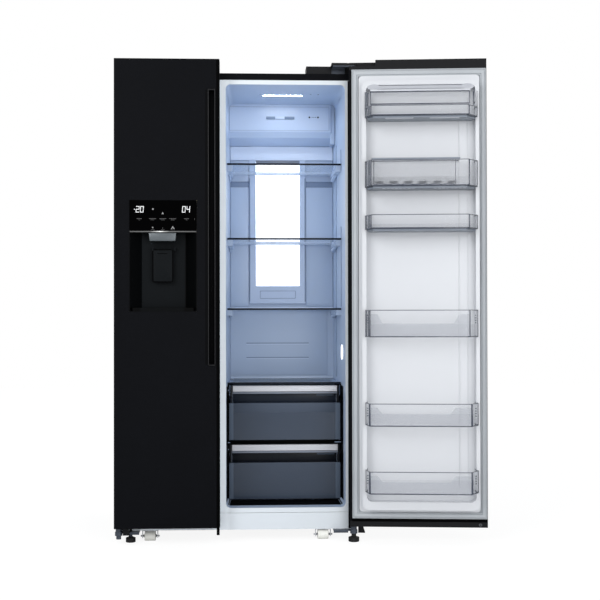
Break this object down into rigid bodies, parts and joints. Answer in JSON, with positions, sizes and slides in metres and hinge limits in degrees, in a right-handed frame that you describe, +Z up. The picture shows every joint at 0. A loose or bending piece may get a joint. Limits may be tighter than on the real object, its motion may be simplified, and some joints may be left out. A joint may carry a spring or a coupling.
{
  "type": "side by side refrigerator",
  "caption": "Tall black side by side refrigerator with a dispenser in the freezer door and the fridge door open on shelves, drawers and door bins.",
  "frame": {"origin": "on the floor, below the middle of the cabinet's front flange", "axes": "+X towards the right as seen from the front, +Y into the cabinet, +Z up"},
  "size_m": [1.3715, 0.8962, 1.78],
  "materials": {
    "black_steel": "fine textured satin black paint",
    "white_frame": "satin white paint",
    "fridge_lining": "vacuum formed white plastic under cool light",
    "freezer_lining": "vacuum formed white plastic",
    "foam": "polyurethane foam",
    "zinc_steel": "galvanised sheet",
    "black_plastic": "satin moulded",
    "compressor_paint": "gloss black",
    "condenser_steel": "black coated steel tube",
    "fan_plastic": "moulded",
    "evaporator_aluminium": "mill finish",
    "white_plastic": "satin white",
    "lamp": "milky diffuser",
    "shelf_glass": "toughened glass",
    "clear_plastic": "clear polystyrene",
    "smoky_plastic": "smoky polystyrene",
    "silver_trim": "silver painted plastic",
    "gasket_rubber": "grey magnetic seal",
    "panel_glass": "polished black panel",
    "paddle_plastic": "moulded",
    "hinge_steel": "dark grey painted steel",
    "roller_white": "nylon",
    "foot_rubber": "black moulded"
  },
  "bodies": {
    "cabinet": {"fridge_liner": "fridge_lining", "freezer_liner": "freezer_lining", "cabinet_shell": "black_steel", "front_frame": "white_frame", "lower_front_panel": "white_frame", "cabinet_foam": "foam", "rear_panel": "black_steel", "base_chassis": "zinc_steel", "machine_cover": "black_plastic", "compressor": "compressor_paint", "condenser": "condenser_steel", "freezer_duct_cover": "white_plastic", "evaporator": "evaporator_aluminium", "freezer_shelves": "shelf_glass", "freezer_baskets": "clear_plastic", "ice_bin": "clear_plastic", "upper_air_housing": "white_plastic", "fridge_duct_panel": "white_plastic", "interior_lights": "lamp", "fridge_shelves": "shelf_glass", "shelf_trims": "black_plastic", "shelf_supports": "white_plastic", "hinge_brackets": "hinge_steel", "hinge_covers": "black_plastic", "roller_brackets": "zinc_steel"},
    "freezer_door": {"freezer_door_skin": "black_steel", "freezer_door_liner": "white_plastic", "freezer_door_foam": "foam", "freezer_door_gasket": "gasket_rubber", "freezer_door_caps": "black_plastic", "freezer_door_handle": "black_plastic", "freezer_door_bins": "clear_plastic", "dispenser_housing": "black_plastic", "dispenser_panel": "panel_glass", "dispenser_spout": "silver_trim"},
    "dispenser_paddle": {"dispenser_paddle": "paddle_plastic"},
    "fridge_door": {"fridge_door_skin": "black_steel", "fridge_door_liner": "white_plastic", "fridge_door_foam": "foam", "fridge_door_gasket": "gasket_rubber", "fridge_door_caps": "black_plastic", "fridge_door_handle": "black_plastic", "door_bins_lower": "clear_plastic", "door_bin_narrow": "clear_plastic", "door_bin_egg": "clear_plastic", "door_bin_dairy": "clear_plastic", "egg_tray": "clear_plastic"},
    "dairy_lid": {"dairy_lid": "clear_plastic"},
    "upper_crisper": {"upper_crisper": "smoky_plastic", "upper_crisper_bar": "silver_trim"},
    "lower_crisper": {"lower_crisper": "smoky_plastic", "lower_crisper_bar": "silver_trim"},
    "left_front_roller": {"left_front_roller": "roller_white"},
    "right_front_roller": {"right_front_roller": "roller_white"},
    "rear_rollers": {"rear_rollers": "roller_white"},
    "left_front_foot": {"left_front_foot": "foot_rubber"},
    "right_front_foot": {"right_front_foot": "foot_rubber"},
    "condenser_fan": {"condenser_fan": "fan_plastic"},
    "evaporator_fan": {"evaporator_fan": "fan_plastic"},
    "ice_auger": {"ice_auger": "fan_plastic"}
  },
  "joints": [
    {"name": "freezer_door_hinge", "type": "hinge", "parent": "cabinet", "child": "freezer_door", "pos_m": [-0.433, -0.04, 0.9], "axis": [0, 0, 1], "range_deg": [-174, 0]},
    {"name": "fridge_door_hinge", "type": "hinge", "parent": "cabinet", "child": "fridge_door", "pos_m": [0.433, -0.04, 0.9], "axis": [0, 0, 1], "range_deg": [-174, 0]},
    {"name": "upper_crisper_slide", "type": "slide", "parent": "cabinet", "child": "upper_crisper", "axis": [0, -1, 0], "range_m": [0, 0.25]},
    {"name": "lower_crisper_slide", "type": "slide", "parent": "cabinet", "child": "lower_crisper", "axis": [0, -1, 0], "range_m": [0, 0.15]},
    {"name": "dairy_lid_hinge", "type": "hinge", "parent": "fridge_door", "child": "dairy_lid", "pos_m": [0.65885, -0.14418, 1.6644], "axis": [-0.9945, 0.1045, 0], "range_deg": [0, 80]},
    {"name": "dispenser_paddle_hinge", "type": "hinge", "parent": "freezer_door", "child": "dispenser_paddle", "pos_m": [-0.2675, -0.04, 1.082], "axis": [1, 0, 0], "range_deg": [0, 6], "stiffness_Nm_per_rad": 0.3},
    {"name": "left_front_roller_spin", "type": "hinge", "parent": "cabinet", "child": "left_front_roller", "pos_m": [-0.322, 0.015, 0.018], "axis": [1, 0, 0], "continuous": true},
    {"name": "right_front_roller_spin", "type": "hinge", "parent": "cabinet", "child": "right_front_roller", "pos_m": [0.322, 0.015, 0.018], "axis": [1, 0, 0], "continuous": true},
    {"name": "rear_rollers_spin", "type": "hinge", "parent": "cabinet", "child": "rear_rollers", "pos_m": [0, 0.6, 0.018], "axis": [1, 0, 0], "continuous": true},
    {"name": "left_front_foot_turn", "type": "hinge", "parent": "cabinet", "child": "left_front_foot", "pos_m": [-0.392, -0.008, 0.008], "axis": [0, 0, 1], "continuous": true},
    {"name": "right_front_foot_turn", "type": "hinge", "parent": "cabinet", "child": "right_front_foot", "pos_m": [0.433, -0.04, 0.008], "axis": [0, 0, 1], "continuous": true},
    {"name": "condenser_fan_spin", "type": "hinge", "parent": "cabinet", "child": "condenser_fan", "pos_m": [0.01, 0.53, 0.1415], "axis": [1, 0, 0], "continuous": true},
    {"name": "evaporator_fan_spin", "type": "hinge", "parent": "cabinet", "child": "evaporator_fan", "pos_m": [-0.243, 0.51, 1.301], "axis": [0, 1, 0], "continuous": true},
    {"name": "ice_auger_spin", "type": "hinge", "parent": "cabinet", "child": "ice_auger", "pos_m": [-0.243, 0.3, 1.337], "axis": [0, 1, 0], "continuous": true}
  ]
}
